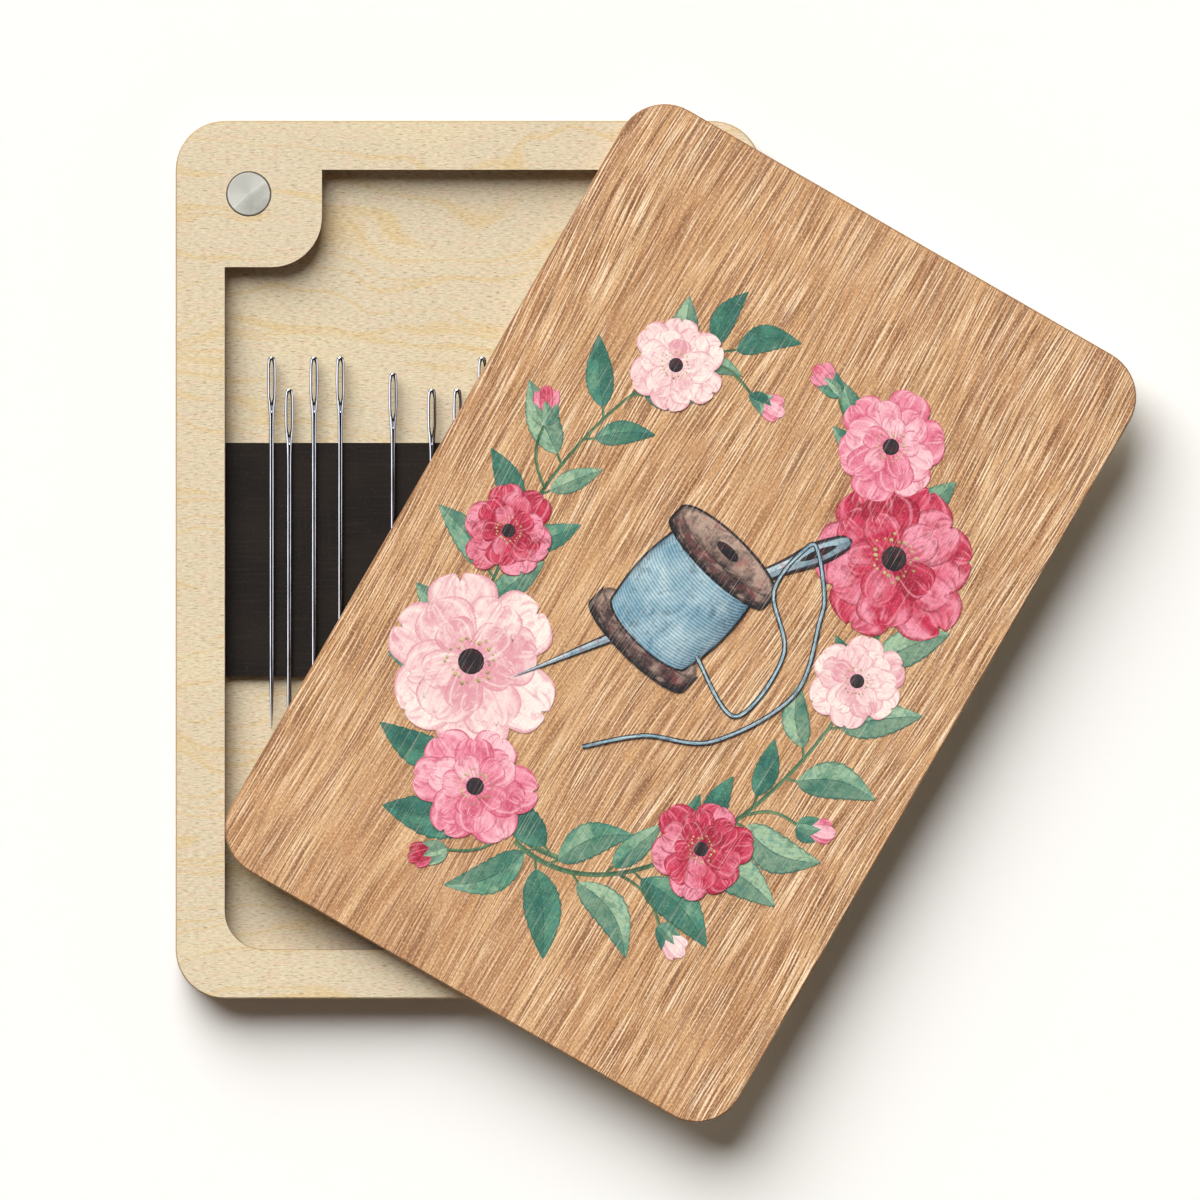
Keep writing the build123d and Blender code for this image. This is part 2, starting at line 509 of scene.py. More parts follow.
bpy.ops.object.select_all(action="DESELECT")
bpy.ops.mesh.primitive_circle_add(
    vertices=needle_sides,
    radius=1,
    fill_type="NGON",
    rotation=(math.pi / 2, 0, 0),
)
needle = bpy.context.object
needle.name = "needle_model"
bpy.ops.object.transform_apply(location=True, rotation=True, scale=True)
bpy.ops.object.mode_set(mode="EDIT")
bpy.ops.mesh.select_all(action="SELECT")
below, wide, thick = 0.0, 1.0, 1.0
for next_below, next_wide, next_thick in needle_sections:
    if below > 0:
        bpy.ops.mesh.extrude_region_move(
            TRANSFORM_OT_translate={"value": (0, below - next_below, 0)}
        )
    else:
        bpy.ops.transform.translate(value=(0, -next_below, 0))
    bpy.ops.transform.resize(
        value=(next_wide / wide, 1, next_thick / thick), center_override=(0, -next_below, 0)
    )
    below, wide, thick = next_below, next_wide, next_thick
bpy.ops.mesh.select_all(action="SELECT")
bpy.ops.mesh.normals_make_consistent(inside=False)
bpy.ops.object.mode_set(mode="OBJECT")

# The eye is cut straight through the middle of the head and flares towards both faces
bpy.ops.object.select_all(action="DESELECT")
bpy.ops.mesh.primitive_grid_add(x_subdivisions=2, y_subdivisions=36, size=2)
eye = bpy.context.object
eye_middle, eye_half_length = (eye_top + eye_bottom) / 2, (eye_bottom - eye_top) / 2
flare_out = (1 + eye_flare / eye_half_width, 1 + eye_flare / eye_half_length, 1)
flare_in = (1 / flare_out[0], 1 / flare_out[1], 1)
for vertex in eye.data.vertices:
    share = (1 - vertex.co.y) / 2
    vertex.co.x *= flare_out[0] * max(eye_half_width_at(share), eye_least_half_width)
    vertex.co.y = vertex.co.y * flare_out[1] * eye_half_length - eye_middle
    vertex.co.z = -eye_straight_depth - eye_flare
bpy.ops.object.mode_set(mode="EDIT")
bpy.ops.mesh.select_all(action="SELECT")
for rise, widening in (
    (eye_flare, flare_in),
    (2 * eye_straight_depth, (1, 1, 1)),
    (eye_flare, flare_out),
):
    bpy.ops.mesh.extrude_region_move(TRANSFORM_OT_translate={"value": (0, 0, rise)})
    bpy.ops.transform.resize(value=widening, center_override=(0, -eye_middle, 0))
bpy.ops.mesh.select_all(action="SELECT")
bpy.ops.mesh.normals_make_consistent(inside=False)
bpy.ops.object.mode_set(mode="OBJECT")
cut_away(needle, eye)

# The gutter: a short groove below the eye on both faces, which guides the thread
for side in (-1, 1):
    bpy.ops.object.select_all(action="DESELECT")
    bpy.ops.mesh.primitive_uv_sphere_add(
        segments=24, ring_count=12, radius=1, location=(0, -gutter_middle, side * gutter_height)
    )
    gutter = bpy.context.object
    gutter.scale = gutter_half_size
    bpy.ops.object.transform_apply(location=True, rotation=True, scale=True)
    cut_away(needle, gutter)

bpy.ops.object.select_all(action="DESELECT")
bpy.context.view_layer.objects.active = needle
bpy.ops.object.mode_set(mode="EDIT")
bpy.ops.mesh.select_all(action="SELECT")
bpy.ops.mesh.remove_doubles(threshold=shortest_edge)
bpy.ops.mesh.dissolve_degenerate(threshold=shortest_edge)
bpy.ops.object.mode_set(mode="OBJECT")
needle.select_set(True)
bpy.ops.object.shade_smooth_by_angle(angle=math.radians(40))

# Drawn, polished and plated steel: a cool mirror, with faint lines left along it by the drawing.
# The real lines are too fine to show, so these are a tenth of a millimetre wide.
bright_steel, tree = new_material("nickel_plated_needle_steel")
draw_marks = add(
    tree,
    "TexNoise",
    {
        "Vector": add(
            tree, "Mapping", {"Vector": in_millimetres(tree), "Scale": (9.0, 0.35, 9.0)}
        ),
        "Scale": 1.0,
        "Detail": 3.0,
    },
)
steel_colour = tinted(tree, "aaacb4", "8e919b", draw_marks, 0.4, 0.7)
steel_bump = add(tree, "Bump", {"Height": draw_marks, "Strength": 0.08, "Distance": 0.00002})
steel = add(
    tree,
    "BsdfPrincipled",
    {"Base Color": steel_colour, "Metallic": 1.0, "Roughness": 0.09, "Normal": steel_bump},
)
add(tree, "OutputMaterial", {"Surface": steel})
dress(needle, bright_steel)

# In and just round the eye the steel is painted dark: painted shade for the eye's shadowed walls
# and a dark outline round its rim
eye_shade_reach = 0.15
eye_shade_start, eye_shade_end = -0.025, 1.01
painted_eye_shade, tree = new_material("stamping_scale_on_steel")
eye_shade_patches = add(tree, "TexNoise", {"Vector": in_millimetres(tree), "Scale": 4.0, "Detail": 3.0})
eye_shade_colour = add(
    tree,
    "Mix",
    {0: eye_shade_patches, MIX_A: "1d1e24", MIX_B: "4a4c55"},
    output=MIX_RESULT,
    data_type="RGBA",
)
eye_shade_body = add(
    tree,
    "BsdfPrincipled",
    {"Base Color": eye_shade_colour, "Metallic": 1.0, "Roughness": 0.35},
)
add(tree, "OutputMaterial", {"Surface": eye_shade_body})
needle.data.materials.append(painted_eye_shade)
for face in needle.data.polygons:
    share = (-eye_top - face.center.y) / (eye_bottom - eye_top)
    reach = eye_half_width_at(min(max(share, 0.0), 1.0)) + eye_shade_reach
    if eye_shade_start < share < eye_shade_end and abs(face.center.x) < reach:
        face.material_index = 1

needle_nodes = sorted(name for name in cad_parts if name.startswith("needle_"))
for name in needle_nodes:
    low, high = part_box(name)
    placed = needle.copy()
    placed.data = needle.data.copy()
    placed.name = name + "_finished"
    bpy.context.scene.collection.objects.link(placed)
    crown = Vector(((low.x + high.x) / 2, high.y, (low.z + high.z) / 2))
    placed.data.transform(Matrix.Translation(crown) @ Matrix.Scale(MM, 4))
    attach(placed, name)
    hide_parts(name)
bpy.data.objects.remove(needle)

# The lid: a board faced with brushed oak veneer. Brushing has taken out the soft wood, so long
# ridges stand up along the grain and catch the light, between darker pores. Painted highlights
# and painted shade along the ridges add to that.
# Its cut edges are toasted brown by the laser.
lid_turn = math.radians(30)
lid_low, lid_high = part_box("lid_veneer")
lid_middle = (lid_low + lid_high) / 2
middle_in_millimetres = Matrix.Rotation(lid_turn, 3, "Z") @ lid_middle / MM


def in_lid_millimetres(tree):
    """Object coordinates in millimetres from the lid's middle: X across the lid, Y along it."""
    return add(
        tree,
        "Mapping",
        {
            "Vector": add(tree, "TexCoord", output="Object"),
            "Location": tuple(-middle_in_millimetres),
            "Rotation": (0, 0, lid_turn),
            "Scale": (1000, 1000, 1000),
        },
    )


arch_place, arch_width, arch_slope = -9.0, 9.0, 0.06
bite_sideways, bite_upwards = 0.006, 0.0015


def brushed_oak_grain(tree, depth):
    """The patterns of the brushed veneer, which the lid and the print on it share."""
    place = in_lid_millimetres(tree)
    across = 0.0
    for scale, detail, reach in (((0.02, 0.008, 0.0), 2.0, 2.6), ((0.2, 0.03, 0.0), 1.0, 0.16)):
        wander = add(
            tree,
            "TexNoise",
            {
                "Vector": add(tree, "Mapping", {"Vector": place, "Scale": scale}),
                "Scale": 1.0,
                "Detail": detail,
            },
        )
        shift = add(
            tree,
            "MapRange",
            {"Value": wander, "From Min": 0.3, "From Max": 0.7, "To Min": -reach, "To Max": reach},
        )
        across = add(tree, "Math", {0: across, 1: shift}, operation="ADD")
    along_grain = add(
        tree,
        "VectorMath",
        {0: place, 1: add(tree, "CombineXYZ", {"X": across})},
        operation="ADD",
    )
    # The veneer is cut flat to the rings in its middle, where they run together in tall arches
    from_arch = add(
        tree,
        "Math",
        {0: add(tree, "SeparateXYZ", {0: along_grain}, output="X"), 1: arch_place},
        operation="SUBTRACT",
    )
    along = add(tree, "SeparateXYZ", {0: along_grain}, output="Y")
    bowed = add(
        tree, "Math", {0: from_arch, 1: from_arch, 2: arch_width**2}, operation="MULTIPLY_ADD"
    )
    bowed = add(tree, "Math", {0: bowed}, operation="SQRT")
    ring = add(tree, "Math", {0: along, 1: arch_slope, 2: bowed}, operation="MULTIPLY_ADD")
    along_rings = add(tree, "CombineXYZ", {"X": ring, "Y": along})
    # Brushing bites deeper towards the sides and the top, and in some stretches than in others.
    # The same mask sets how strong the painted highlights and shade along the ridges are.
    grain = {"place": place}
    bite = add(
        tree,
        "TexNoise",
        {
            "Vector": add(tree, "Mapping", {"Vector": along_grain, "Scale": (0.11, 0.02, 0.0)}),
            "Scale": 1.0,
            "Detail": 2.0,
        },
    )
    bite = add(tree, "Math", {0: bowed, 1: bite_sideways, 2: bite}, operation="MULTIPLY_ADD")
    bite = add(tree, "Math", {0: along, 1: bite_upwards, 2: bite}, operation="MULTIPLY_ADD")
    grain["brushed"] = add(
        tree,
        "MapRange",
        {"Value": bite, "From Min": 0.46, "From Max": 0.8, "To Min": 0.45},
    )
    # Growth bands are 4 mm apart. Ridges and pores are long and about 0.2 mm wide, coarser than
    # real oak's finest, so that they show.
    for pattern, follows, scale, detail in (
        ("bands", along_rings, (0.26, 0.005, 0.0), 3.0),
        ("streaks", along_rings, (1.2, 0.025, 0.0), 3.0),
        ("ridges", along_grain, (5.4, 0.1, 0.0), 2.0),
        ("pores", along_grain, (4.0, 0.06, 0.0), 1.0),
    ):
        grain[pattern] = add(
            tree,
            "TexNoise",
            {
                "Vector": add(tree, "Mapping", {"Vector": follows, "Scale": scale}),
                "Scale": 1.0,
                "Detail": detail,
                "Roughness": 0.6,
            },
        )
    grain["sand"] = add(
        tree,
        "TexNoise",
        {
            "Vector": add(tree, "Mapping", {"Vector": place, "Scale": (4.2, 2.6, 0.0)}),
            "Scale": 1.0,
            "Detail": 2.0,
        },
    )
    sanded = add(tree, "Math", {0: grain["sand"], 1: 0.25}, operation="MULTIPLY")
    height = add(
        tree,
        "Math",
        {0: grain["ridges"], 1: grain["brushed"], 2: sanded},
        operation="MULTIPLY_ADD",
    )
    grain["relief"] = add(tree, "Bump", {"Height": height, "Strength": depth, "Distance": 0.0002})
    return grain


oak_relief = 0.7
oak, tree = new_material("brushed_oak_veneer")
grain = brushed_oak_grain(tree, oak_relief)
face = "cf9e6b"
for pattern, start, end, strength, tint in (
    ("bands", 0.47, 0.66, 0.7, "b5845b"),
    ("bands", 0.5, 0.36, 1.0, "dbb181"),
    ("streaks", 0.5, 0.68, 0.6, "a8734e"),
    ("streaks", 0.46, 0.3, 0.5, "e3bb8e"),
    ("ridges", 0.53, 0.59, 1.0, "7f502b"),
    ("ridges", 0.45, 0.39, 0.9, "ffe8c6"),
    ("pores", 0.56, 0.64, 0.75, "7c4f32"),
    ("sand", 0.52, 0.7, 0.5, "98693f"),
    ("sand", 0.46, 0.3, 0.55, "f2d0a3"),
):
    # Light and dark lines are painted along the ridges: painted highlights and painted shade for
    # their glints, stronger where the brushing bites deeper
    if pattern == "ridges":
        strength = add(tree, "Math", {0: grain["brushed"], 1: strength}, operation="MULTIPLY")
    face = tinted(tree, face, tint, grain[pattern], start, end, strength)
scorch = add(
    tree,
    "TexNoise",
    {
        "Vector": add(tree, "Mapping", {"Vector": grain["place"], "Scale": (1.5, 1.5, 0.4)}),
        "Scale": 1.0,
        "Detail": 4.0,
    },
)
edge = tinted(tree, "93623a", "4f3119", scorch, 0.4, 0.7)
level = levelness(tree)
is_face = add(tree, "Math", {0: level, 1: 0.5}, operation="GREATER_THAN")
# Painted shade: the eased edge round the faces is darkened, so that it doesn't light up where it
# faces the sun
face = tinted(tree, face, "7d5431", level, 0.95, 0.7, 0.75)
colour = add(
    tree, "Mix", {0: is_face, MIX_A: edge, MIX_B: face}, output=MIX_RESULT, data_type="RGBA"
)
wood = add(
    tree,
    "BsdfPrincipled",
    {
        "Base Color": colour,
        "Roughness": 0.5,
        "Specular IOR Level": 0.4,
        "Normal": grain["relief"],
    },
)
add(tree, "OutputMaterial", {"Surface": wood})
dress(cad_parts["lid_veneer"], oak)
dress(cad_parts["lid_core"], birch_plywood("birch_plywood_lid", (-120, 330, 0.95)))

# The print: ink laid on the veneer by a flatbed printer, so thin that the ridges still show in
# it. A leafy oval wreath with wide-petalled blossoms in crimson, pink and blush goes round a
# spool of steel-blue thread and a threaded needle. Each painted shape is its own film of ink.
ink_thickness = 0.012 * MM
ink_relief = 0.4
ink_step = 0.0006 * MM
same_point = 0.001 * MM
print_place = Matrix.Translation((lid_middle.x, lid_middle.y, lid_high.z)) @ Matrix.Rotation(
    -lid_turn, 4, "Z"
)
chance = random.Random(7)
films = 0


def painted_shape(point_at, across, along, wash, new_film=True):
    """A sheet of ink. point_at gives a place in lid millimetres for -1..1 across and 0..1 along."""
    global films
    films += new_film
    bpy.ops.object.select_all(action="DESELECT")
    bpy.ops.mesh.primitive_grid_add(x_subdivisions=across, y_subdivisions=along, size=2)
    shape = bpy.context.object
    for vertex in shape.data.vertices:
        x, y = point_at(vertex.co.x, (vertex.co.y + 1) / 2)
        vertex.co = print_place @ Vector((x * MM, y * MM, films * ink_step))
    bpy.ops.object.mode_set(mode="EDIT")
    bpy.ops.mesh.select_all(action="SELECT")
    bpy.ops.mesh.remove_doubles(threshold=same_point)
    bpy.ops.object.mode_set(mode="OBJECT")
    middle_face = shape.data.polygons[len(shape.data.polygons) // 2]
    if middle_face.normal.z < 0:
        shape.data.flip_normals()
    tone = shape.data.attributes.new("wash", "FLOAT", "POINT")
    tone.data.foreach_set("value", [wash] * len(shape.data.vertices))
    return shape


def printed(name, shapes, material):
    """Joins sheets of ink into one piece of the print, thickens it and lets it ride the lid."""
    bpy.ops.object.select_all(action="DESELECT")
    for shape in shapes:
        shape.select_set(True)
    piece = shapes[0]
    bpy.context.view_layer.objects.active = piece
    if len(shapes) > 1:
        bpy.ops.object.join()
    piece.name = name
    film = piece.modifiers.new("film", "SOLIDIFY")
    film.thickness = ink_thickness
    film.offset = 1.0
    bpy.ops.object.modifier_apply(modifier=film.name)
    dress(piece, material)
    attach(piece, "lid")


def turned(x, y, angle, place):
    """A point turned by an angle and moved to a place."""
    return (
        place[0] + x * math.cos(angle) - y * math.sin(angle),
        place[1] + x * math.sin(angle) + y * math.cos(angle),
    )


def watercolour(name, deep, middle, light, accent, veins):
    """Washes of ink that pool dark along a shape's rim. veins is "leaf", "petal" or "thread"."""
    material, tree = new_material(name)
    grain = brushed_oak_grain(tree, ink_relief)
    sheet = add(tree, "TexCoord", output="UV")
    share = add(tree, "SeparateXYZ", {0: sheet}, output="X")
    along = add(tree, "SeparateXYZ", {0: sheet}, output="Y")
    wash = add(tree, "Attribute", output="Fac", attribute_name="wash")
    off_middle = add(tree, "Math", {0: share, 1: 0.5}, operation="SUBTRACT")
    off_middle = add(tree, "Math", {0: off_middle}, operation="ABSOLUTE")
    blooms = {}
    for pattern, scale in (("pool", 0.22), ("stroke", 0.75), ("grit", 3.2)):
        blooms[pattern] = add(
            tree,
            "TexNoise",
            {
                "Vector": grain["place"],
                "Scale": scale,
                "Detail": 4.0,
                "Roughness": 0.6,
                "Distortion": 0.4,
            },
        )
    pooled = add(tree, "Math", {0: blooms["pool"], 1: 0.22}, operation="SUBTRACT")
    toned = add(tree, "Math", {0: wash, 1: 0.45, 2: pooled}, operation="MULTIPLY_ADD")
    wobble = add(tree, "Math", {0: blooms["stroke"], 1: 0.35}, operation="MULTIPLY")
    layers = [
        (toned, 0.42, 0.68, 1.0, light),
        (toned, 0.4, 0.24, 0.8, deep),
        (blooms["stroke"], 0.54, 0.62, 0.5, accent),
        (blooms["stroke"], 0.46, 0.38, 0.45, deep),
    ]
    if veins == "petal":
        fan = add(
            tree,
            "TexNoise",
            {
                "Vector": add(tree, "Mapping", {"Vector": sheet, "Scale": (9.0, 1.6, 1.0)}),
                "Scale": 1.0,
                "Detail": 2.0,
            },
        )
        root = add(tree, "Math", {0: along, 1: wobble}, operation="ADD")
        layers += [
            (root, 0.62, 0.3, 0.95, deep),
            (fan, 0.52, 0.6, 0.45, deep),
            (fan, 0.45, 0.36, 0.5, light),
        ]
    elif veins == "leaf":
        slant = add(tree, "Math", {0: along, 1: 6.5}, operation="MULTIPLY")
        slant = add(tree, "Math", {0: off_middle, 1: -5.5, 2: slant}, operation="MULTIPLY_ADD")
        side_veins = add(tree, "Math", {0: slant, 1: 0.5}, operation="PINGPONG")
        half = add(tree, "Math", {0: share, 1: wobble}, operation="ADD")
        layers += [
            (half, 0.66, 0.7, 0.5, deep),
            (side_veins, 0.05, 0.0, 0.55, deep),
            (off_middle, 0.03, 0.012, 0.7, deep),
        ]
    else:
        turns = add(tree, "Math", {0: along, 1: 30.0}, operation="MULTIPLY")
        turns = add(tree, "Math", {0: share, 1: 1.4, 2: turns}, operation="MULTIPLY_ADD")
        between = add(tree, "Math", {0: turns, 1: 0.5}, operation="PINGPONG")
        layers += [
            (between, 0.16, 0.02, 0.75, deep),
            (share, 0.6, 0.95, 0.8, deep),
            (share, 0.16, 0.02, 0.7, deep),
            (between, 0.34, 0.48, 0.4, light),
        ]
    rim_reach = add(tree, "Math", {0: blooms["grit"], 1: 0.06}, operation="MULTIPLY")
    rim_reach = add(tree, "Math", {0: off_middle, 1: rim_reach}, operation="ADD")
    # A painted highlight along the ridges under the ink lightens it a little, and the pores darken
    # it
    layers += [
        (rim_reach, 0.465, 0.515, 0.75, deep),
        (along, 0.955, 0.995, 0.6, deep),
        (blooms["grit"], 0.55, 0.7, 0.3, deep),
        (blooms["grit"], 0.45, 0.3, 0.3, light),
        (grain["ridges"], 0.44, 0.3, 0.25, "f2e2cf"),
        (grain["pores"], 0.58, 0.7, 0.3, deep),
    ]
    colour = middle
    for value, start, end, strength, tint in layers:
        colour = tinted(tree, colour, tint, value, start, end, strength)
    ink = add(
        tree,
        "BsdfPrincipled",
        {
            "Base Color": colour,
            "Roughness": 0.5,
            "Specular IOR Level": 0.3,
            "Normal": grain["relief"],
        },
    )
    add(tree, "OutputMaterial", {"Surface": ink})
    return material


# The branches: two stems cross at the bottom and rise on either side of the wreath
wreath_across, wreath_along = 25.5, 38.0
branch_start, branch_sweep = -99.0, 163.0


def branch_point(side, share):
    """A point of a branch, at a share of the way from its cut end to its tip."""
    angle = math.radians(branch_start + branch_sweep * share)
    sway = 1.0 + 0.022 * math.sin(9 * share + side)
    across = side * wreath_across * sway * math.cos(angle)
    return Vector((across, wreath_along * sway * math.sin(angle)))


def branch_direction(side, share):
    """The direction of growth of a branch, as an angle from X."""
    ahead = branch_point(side, share + 0.01) - branch_point(side, share - 0.01)
    return math.atan2(ahead.y, ahead.x)


def ribbon(route, half_width, along=40, wash=0.5):
    """A painted line. route and half_width are functions of the share of its length."""

    def point_at(across, share):
        ahead = Vector(route(share + 0.005)) - Vector(route(share - 0.005))
        ahead.normalize()
        middle = Vector(route(share))
        reach = across * half_width(share)
        return middle.x - ahead.y * reach, middle.y + ahead.x * reach

    return painted_shape(point_at, 2, along, wash)


def leaf(place, angle, length, wash):
    """A pointed leaf with a toothed edge and a bowed midrib, its stalk end at the place."""
    width = length * chance.uniform(0.2, 0.25)
    bow = 0.9 * length * chance.uniform(-0.16, 0.16)
    teeth = 9

    def point_at(across, share):
        swell = math.sin(math.pi * share**0.82) ** 0.85 if 0 < share < 1 else 0.0
        tooth = 1.0 + 0.11 * (share * teeth % 1.0) * abs(across) ** 3
        x = across * width * swell * tooth * (1.0 - 0.18 * share)
        x += bow * math.sin(math.pi * share)
        return turned(x, length * share, angle - math.pi / 2, place)

    return painted_shape(point_at, 6, 36, wash)


petal_turn = 0.97 * math.pi


def petal(place, angle, length, width, wash):
    """A broad petal, narrow at its root, with a wavy rim and a shallow notch."""
    waves = chance.uniform(0, 2 * math.pi)
    notch = length * chance.uniform(0.02, 0.1)
    lean = width * chance.uniform(-0.18, 0.18)

    def point_at(across, share):
        turn = petal_turn * share
        reach = length * (1 - math.cos(turn)) / 2
        spread = width * math.sin(turn) ** 0.8 * (0.42 + 0.58 * reach / length) if share > 0 else 0
        spread *= 1.0 + 0.06 * math.sin(9 * share + waves)
        reach -= notch * math.exp(-((across / 0.3) ** 2)) * share**5
        return turned(across * spread + lean * share, reach, angle - math.pi / 2, place)

    return painted_shape(point_at, 8, 18, wash)


def dot(place, size, wash, new_film=True):
    """A small round touch of the brush."""

    def point_at(across, share):
        turn = math.pi * share
        return place[0] + across * size * math.sin(turn), place[1] - size * math.cos(turn)

    return painted_shape(point_at, 4, 8, wash, new_film)


leaf_pairs, leaf_stalk = 11, 1.6
stems, leaves = [], []
petals = {"crimson": [], "pink": [], "blush": []}
for side in (-1, 1):
    stems.append(
        ribbon(lambda share: branch_point(side, share), lambda share: 0.36 - 0.2 * share, 60, 0.3)
    )
for side in (-1, 1):
    for pair in range(leaf_pairs):
        for flank in (-1, 1):
            share = 0.04 + 0.088 * pair + 0.04 * (flank + 1) / 2 + chance.uniform(-0.01, 0.01)
            outer = flank == -side
            spread = math.radians(chance.uniform(38, 62) if outer else chance.uniform(30, 46))
            length = (12.5 if outer else 9.5) * (1.08 - 0.38 * share) * chance.uniform(0.9, 1.1)
            base = branch_point(side, share)
            direction = branch_direction(side, share) + flank * spread
            tip = base + Vector((math.cos(direction), math.sin(direction))) * leaf_stalk
            stems.append(ribbon(lambda part: base.lerp(tip, part), lambda part: 0.17, 4, 0.4))
            leaves.append(leaf(tip, direction, length, chance.random()))
    end = branch_point(side, 1.0)
    leaves.append(leaf(end, branch_direction(side, 1.0), 9.0, chance.random()))

# The buds: furled petals in green cups, on thin stalks that leave the branches
buds = [
    # colour, side, share of the branch, outward angle, reach
    ("crimson", -1, 0.66, 34, 9.0),
    ("pink", 1, 0.41, -48, 8.0),
    ("pink", -1, 0.93, -52, 9.5),
    ("crimson", 1, 1.0, 10, 8.0),
    ("blush", 1, 0.2, -60, 9.5),
    ("crimson", -1, 0.13, 58, 9.5),
]
for colour, side, share, outward, reach in buds:
    base = branch_point(side, share)
    direction = branch_direction(side, share) + math.radians(outward)
    forward = Vector((math.cos(direction), math.sin(direction)))
    sideways = Vector((-forward.y, forward.x))

    def stalk_route(part, base=base, forward=forward, sideways=sideways, reach=reach):
        return tuple(base + forward * reach * part + sideways * 1.3 * math.sin(math.pi * part))

    stems.append(ribbon(stalk_route, lambda part: 0.2, 16, 0.35))
    cup = base + forward * reach
    for lean, length, width in ((-0.24, 4.6, 1.3), (0.26, 4.4, 1.3), (0.0, 5.0, 1.25)):
        petals[colour].append(petal(cup, direction + lean, length, width, chance.random()))
    for lean in (-0.5, 0.5, 0.06):
        leaves.append(leaf(cup - forward * 0.5, direction + lean, 3.4, chance.random()))

# The blossoms: rings of overlapping petals, the inner ones smaller, round a dark eye
blossoms = [
    # colour, across, along, radius
    ("crimson", 21.5, 21.0, 11.5),
    ("blush", -21.5, -20.0, 12.0),
    ("pink", 13.5, 34.0, 7.6),
    ("pink", -12.5, -34.5, 8.2),
    ("blush", 25.5, 4.0, 6.6),
    ("crimson", -26.0, -2.0, 6.4),
    ("blush", -17.5, 29.0, 6.6),
    ("crimson", 18.5, -26.5, 6.8),
]
petal_rings = ((6, 1.0, 0.52), (6, 0.8, 0.44), (5, 0.55, 0.3))
stamen_count = 22
eyes, stamens = [], []
for colour, across, along, radius in blossoms:
    place = (across, along)
    start = chance.uniform(0, 2 * math.pi)
    for ring, (count, length, width) in enumerate(petal_rings):
        for number in range(count):
            angle = start + ring * 0.55 + 2 * math.pi * number / count + chance.uniform(-0.1, 0.1)
            size = radius * length * chance.uniform(0.92, 1.06)
            petals[colour].append(
                petal(place, angle, size, radius * width, chance.uniform(0.15, 1.0) - 0.15 * ring)
            )
    eyes.append(dot(place, radius * 0.15, 0.3))
    for number in range(stamen_count):
        angle = 2 * math.pi * number / stamen_count + chance.uniform(-0.1, 0.1)
        reach = radius * chance.uniform(0.2, 0.3)
        touch = turned(reach, 0, angle, place)
        size = radius * chance.uniform(0.014, 0.026)
        stamens.append(dot(touch, size, 0.8, new_film=number == 0))

leaf_ink = watercolour("printed_leaf_green", "1f5a4f", "4f8c72", "a5c3a0", "3f8a86", "leaf")
stem_ink = watercolour("printed_stem_green", "2c4c3a", "55805a", "8fae7c", "4a6f4a", "leaf")
printed("print_stems", stems, stem_ink)
printed("print_leaves", leaves, leaf_ink)

# The needle and thread in the middle of the wreath, drawn with dark outlines
needle_angle = math.radians(52)
needle_foot = (-15.5, -19.0)
printed_needle_length = 50.0


def printed_needle_point(across, share, widest):
    """The drawn needle: a fine point at its foot and a swelling head at its far end."""
    body = min(1.0, (share / 0.42) ** 0.8) if share > 0 else 0.0
    head = 1.0 + 0.75 * math.exp(-(((share - 0.9) / 0.075) ** 2))
    end = math.sqrt(max(0.0, 1 - max(0.0, (share - 0.965) / 0.035) ** 2))
    return turned(
        across * widest * body * head * end,
        printed_needle_length * share,
        needle_angle - math.pi / 2,
        needle_foot,
    )


def printed_eye_point(across, share):
    """The drawn needle's eye: a dark pointed oval in the middle of its head."""
    narrowed = across * math.sin(math.pi * share) ** 0.5
    return printed_needle_point(narrowed, 0.845 + 0.11 * share, 0.3)


outlines = [painted_shape(lambda a, s: printed_needle_point(a, s, 0.95), 4, 60, 0.2)]
steel_shapes = [
    painted_shape(lambda a, s: printed_needle_point(a, 0.008 + 0.984 * s, 0.66), 4, 60, 0.7)
]
outlines.append(painted_shape(printed_eye_point, 4, 16, 0.1))

# The spool: a turned wooden spool seen from a little above, tilted, full of thread
spool_place = (-1.0, 1.0)
spool_tilt = math.radians(-14)
flange_width, flange_drop, flange_depth = 8.6, 2.3, 2.1
thread_width, thread_height = 6.9, 13.5


def on_spool(x, y):
    """A point of the spool's own drawing, tilted and placed in the wreath."""
    return turned(x, y, spool_tilt, spool_place)


def oval(x, y, width, height, wash, grow=0.0):
    """A painted oval of the spool."""

    def point_at(across, share):
        turn = math.pi * share
        return on_spool(
            x + across * (width + grow) * math.sin(turn), y - (height + grow) * math.cos(turn)
        )

    return painted_shape(point_at, 8, 24, wash)


def barrel(low, high, width, bulge, wash, grow=0.0):
    """A painted band of the spool, its upper and lower edges curved as a drum's are."""

    def point_at(across, share):
        turn = across * math.pi / 2
        reach = width + grow + bulge * math.sin(math.pi * share)
        y = (low - grow) + (high - low + 2 * grow) * share - flange_depth * math.cos(turn)
        return on_spool(reach * math.sin(turn), y)

    return painted_shape(point_at, 12, 24, wash)


top, bottom = thread_height / 2 + 1.2, -thread_height / 2 + 1.2
upper_rim = top + flange_drop * 0.8
bronze_shapes, thread_shapes = [], []
outlines.append(barrel(bottom - flange_drop, bottom, flange_width, 0, 0.1, 0.35))
bronze_shapes.append(barrel(bottom - flange_drop, bottom, flange_width, 0, 0.4))
bronze_shapes.append(oval(0, bottom, flange_width, flange_depth, 0.9))
outlines.append(barrel(bottom, top, thread_width, 0.8, 0.1, 0.25))
thread_shapes.append(barrel(bottom, top, thread_width, 0.8, 0.6))
outlines.append(barrel(top, upper_rim, flange_width, 0, 0.1, 0.35))
outlines.append(oval(0, upper_rim, flange_width, flange_depth, 0.1, 0.35))
bronze_shapes.append(barrel(top, upper_rim, flange_width, 0, 0.3))
bronze_shapes.append(oval(0, upper_rim, flange_width, flange_depth, 0.85))
outlines.append(oval(0, upper_rim, 1.9, 0.75, 0.1))

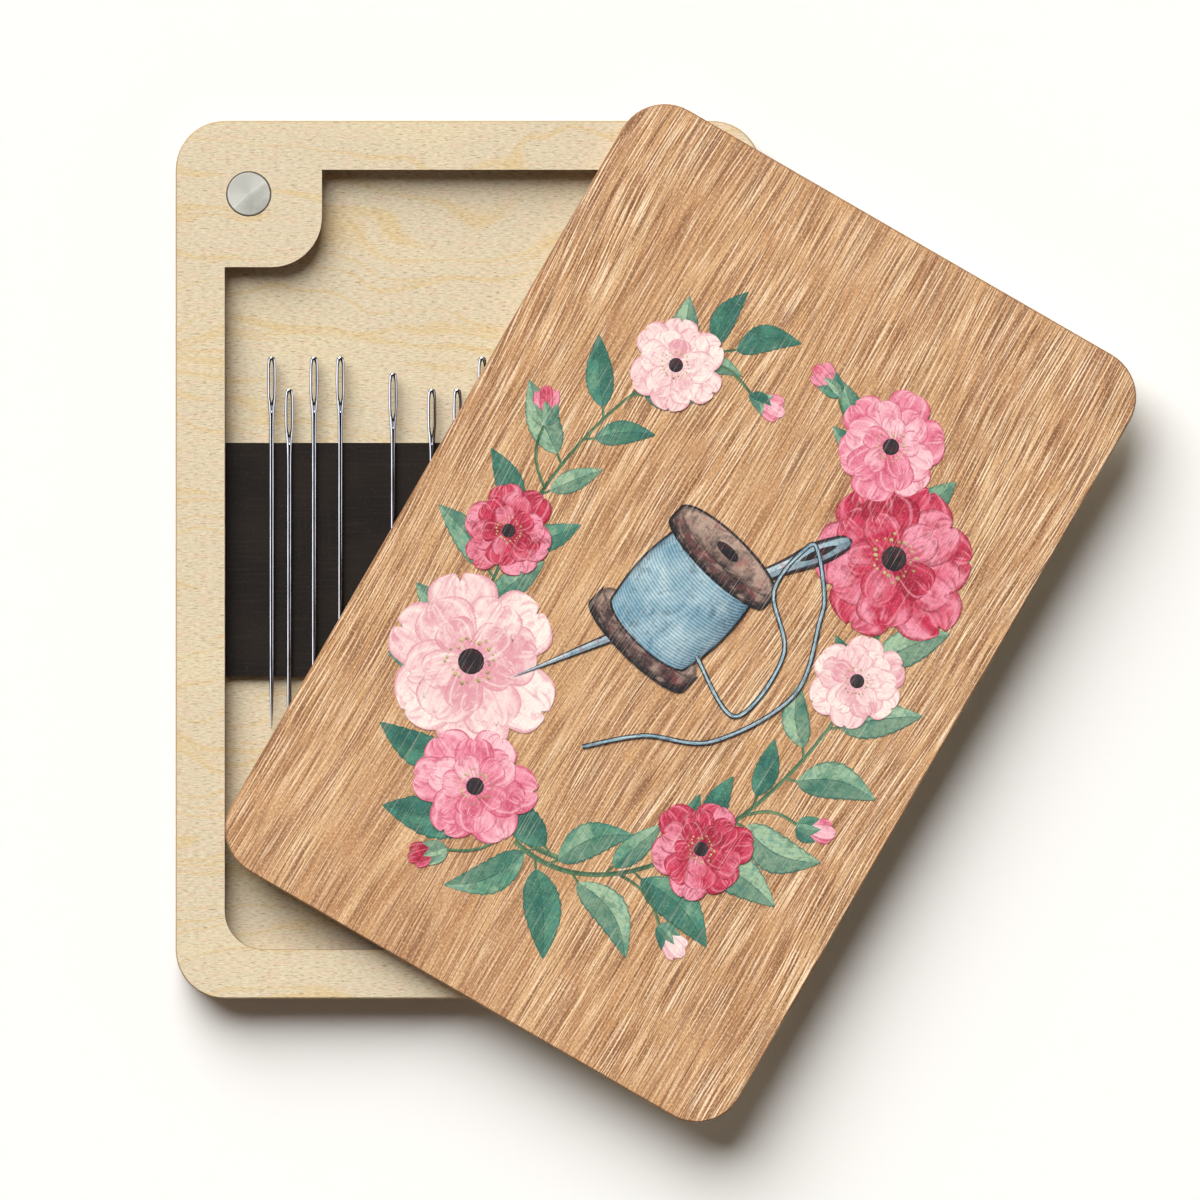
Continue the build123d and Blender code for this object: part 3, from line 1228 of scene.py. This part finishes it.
# The thread leaves the spool, goes through the needle's eye and trails away below
eye_place = Vector(printed_needle_point(0, 0.9, 0.66))
thread_knots = [
    Vector(on_spool(thread_width, -3.5)),
    Vector((13.5, -8.5)),
    Vector((15.0, 2.0)),
    Vector((9.5, 9.0)),
    Vector((10.5, 16.5)),
    eye_place,
    eye_place + Vector((3.5, -4.5)),
    Vector((17.0, 8.5)),
    Vector((19.0, -2.0)),
    Vector((12.5, -13.0)),
    Vector((4.0, -17.0)),
    Vector((-2.5, -22.5)),
]


def thread_route(share):
    """A smooth line through the knots, by Catmull and Rom's rule."""
    reach = min(max(share, 0.0), 0.9999) * (len(thread_knots) - 1)
    first = int(reach)
    part = reach - first
    before = thread_knots[max(first - 1, 0)]
    start, end = thread_knots[first], thread_knots[first + 1]
    after = thread_knots[min(first + 2, len(thread_knots) - 1)]
    return tuple(
        0.5
        * (
            2 * start
            + (end - before) * part
            + (2 * before - 5 * start + 4 * end - after) * part**2
            + (3 * start - before - 3 * end + after) * part**3
        )
    )


outlines.append(ribbon(thread_route, lambda share: 0.34, 160, 0.1))
thread_shapes.append(ribbon(thread_route, lambda share: 0.2, 160, 0.8))

dark_ink = watercolour("printed_dark_line", "15131a", "2a2228", "4d3f45", "5c1f2c", "petal")
steel_ink = watercolour("printed_steel_blue", "33566b", "86adbd", "cfe0e4", "a63a48", "leaf")
bronze_ink = watercolour("printed_dark_bronze", "231c1f", "5a4442", "b79c8c", "8b2f38", "petal")
thread_ink = watercolour("printed_thread_blue", "2b5166", "6c9db3", "bcd6de", "8fb4c4", "thread")
printed("print_outlines", outlines, dark_ink)
printed("print_needle", steel_shapes, steel_ink)
printed("print_spool", bronze_shapes, bronze_ink)
printed("print_thread", thread_shapes, thread_ink)

crimson_ink = watercolour("printed_crimson", "96102f", "c92f51", "f09bb0", "dc4664", "petal")
pink_ink = watercolour("printed_pink", "c94669", "e98aa2", "f7ccd4", "ef9fb2", "petal")
blush_ink = watercolour("printed_blush", "dc8f9e", "f0cdcd", "f8ece4", "f4d9d2", "petal")
stamen_ink = watercolour("printed_stamen_gold", "4a3a1e", "a98a4a", "e3cf96", "c2a45c", "petal")
printed("print_crimson_petals", petals["crimson"], crimson_ink)
printed("print_pink_petals", petals["pink"], pink_ink)
printed("print_blush_petals", petals["blush"], blush_ink)
printed("print_blossom_eyes", eyes, dark_ink)
printed("print_stamens", stamens, stamen_ink)
